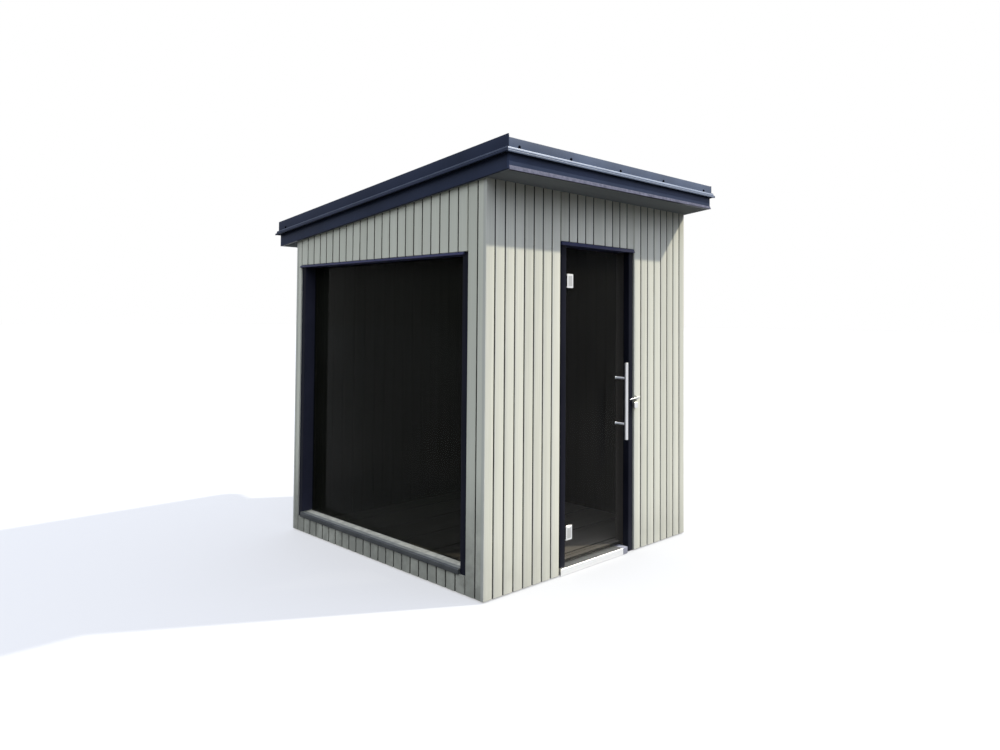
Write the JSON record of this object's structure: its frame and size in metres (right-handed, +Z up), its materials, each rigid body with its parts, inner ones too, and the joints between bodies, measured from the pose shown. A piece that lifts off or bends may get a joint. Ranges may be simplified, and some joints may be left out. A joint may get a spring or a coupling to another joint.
{
  "type": "outdoor sauna cabin",
  "caption": "Small square timber sauna cabin with a single-pitch roof, a hinged glass door in the front wall and a large fixed window in the left wall.",
  "frame": {"origin": "on the ground under the middle of the whole outline, roof edges included", "axes": "+Z up; the door wall faces -Y and the large window faces -X; the roof falls towards +Y"},
  "size_m": [2.114, 2.395, 2.4891],
  "materials": {
    "boards": "painted boards, satin",
    "trim": "satin",
    "strip": "satin",
    "soffit": "painted boards, matt",
    "roof": "satin",
    "base": "rough",
    "floor": "planed boards",
    "sill": "satin",
    "threshold": "brushed",
    "door_glass": "grey tinted",
    "window_glass": "grey tinted",
    "steel": "brushed",
    "padlock": "satin"
  },
  "bodies": {
    "cabin": {"back_wall": "boards", "base_frame": "base", "door_head": "trim", "door_jamb_left": "trim", "door_jamb_right": "trim", "door_threshold": "threshold", "door_wall_left": "boards", "door_wall_over": "boards", "door_wall_right": "boards", "fascia_back": "trim", "fascia_front": "trim", "fascia_left": "trim", "fascia_right": "trim", "flashing_back": "trim", "flashing_front": "trim", "flashing_left": "trim", "flashing_right": "trim", "floor_deck": "floor", "front_edge_strip": "strip", "hasp_staple": "steel", "hasp_strap": "steel", "hinge_bracket_bottom": "steel", "hinge_bracket_top": "steel", "padlock": "padlock", "right_wall": "boards", "roof_body": "soffit", "roof_sheet": "roof", "window_glass": "window_glass", "window_head": "trim", "window_jamb_back": "trim", "window_jamb_front": "trim", "window_sill": "sill", "window_wall_back": "boards", "window_wall_front": "boards", "window_wall_over": "boards", "window_wall_under": "boards"},
    "door": {"door_glass": "door_glass", "hinge_plate_top": "steel", "hinge_plate_bottom": "steel", "handle_bar": "steel", "handle_post_top": "steel", "handle_post_bottom": "steel"}
  },
  "joints": [
    {"name": "door_hinge", "type": "hinge", "parent": "cabin", "child": "door", "pos_m": [-0.3, -0.9515, 0], "axis": [0, 0, -1], "range_deg": [0, 100]}
  ]
}
